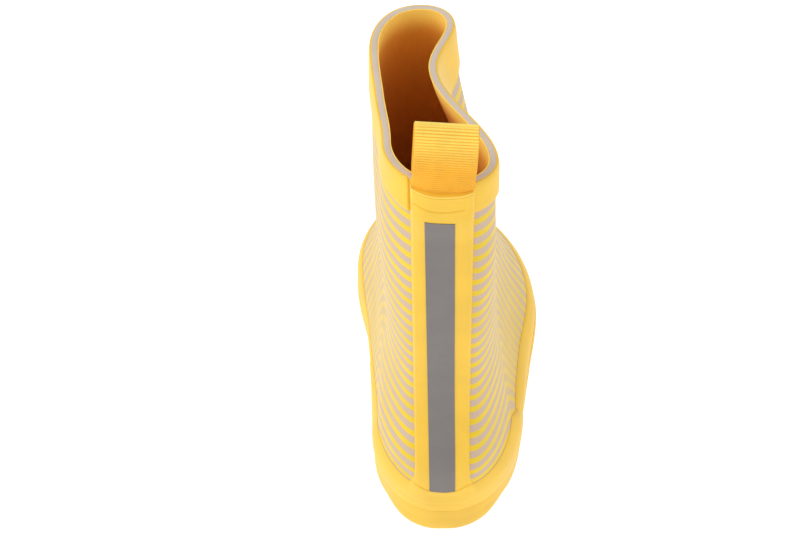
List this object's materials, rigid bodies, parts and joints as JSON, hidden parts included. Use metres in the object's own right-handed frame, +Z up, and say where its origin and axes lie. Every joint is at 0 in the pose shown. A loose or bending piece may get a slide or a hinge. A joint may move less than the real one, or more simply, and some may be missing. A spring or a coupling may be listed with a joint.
{
  "type": "rubber boot",
  "caption": "Child's pull-on rubber rain boot for the right foot, hollow shaft pressed in at the outer side, ribbed sole, foxing, back strip and webbing pull loop.",
  "frame": {"origin": "middle of the bounding box in plan, on the plane the sole stands on", "axes": "+X towards the outer side of a right foot, +Y from heel to toe, +Z up"},
  "size_m": [0.0788, 0.1772, 0.202],
  "materials": {
    "printed_rubber": "satin, slightly soft sheen",
    "plain_rubber": "satin, slightly soft sheen",
    "sole_rubber": "matt",
    "footbed": "matt knit",
    "webbing": "ribbed weave"
  },
  "bodies": {
    "root": {"outsole": "sole_rubber", "insole": "footbed", "upper": "printed_rubber", "foxing": "plain_rubber", "heel_counter": "plain_rubber", "collar_band": "plain_rubber", "back_strip": "plain_rubber", "pull_loop": "webbing"}
  },
  "joints": []
}
